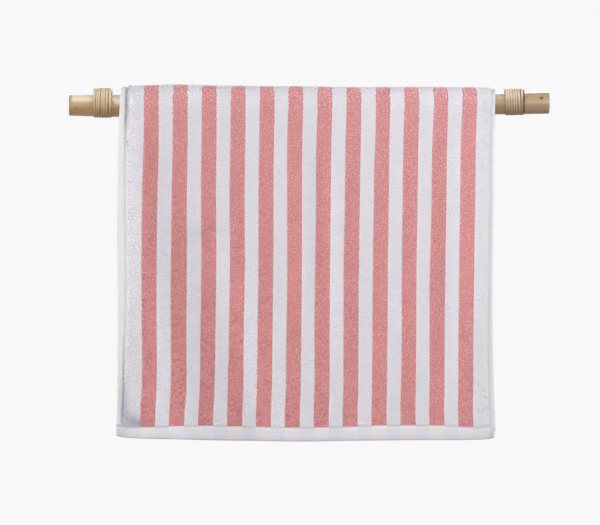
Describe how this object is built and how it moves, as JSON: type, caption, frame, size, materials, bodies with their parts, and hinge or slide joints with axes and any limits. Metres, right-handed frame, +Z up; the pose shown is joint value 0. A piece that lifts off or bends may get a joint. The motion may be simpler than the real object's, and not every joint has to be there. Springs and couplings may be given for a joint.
{
  "type": "hand towel on a wooden rod",
  "caption": "Striped terry hand towel folded over a horizontal natural wooden rod, with a rattan winding near each end of the rod.",
  "frame": {"origin": "on the rod's axis at the middle of its length", "axes": "+X along the rod to the right as seen from in front, -Y towards the viewer, +Z up"},
  "size_m": [0.634, 0.0571, 0.4718],
  "materials": {
    "terry_cloth": "matt looped cotton pile, white with coral-pink stripes",
    "natural_wood": "pale natural wood, satin",
    "rattan": "split rattan strand, satin"
  },
  "bodies": {
    "root": {"towel": "terry_cloth", "rod": "natural_wood", "binding_left": "rattan", "binding_right": "rattan"}
  },
  "joints": []
}
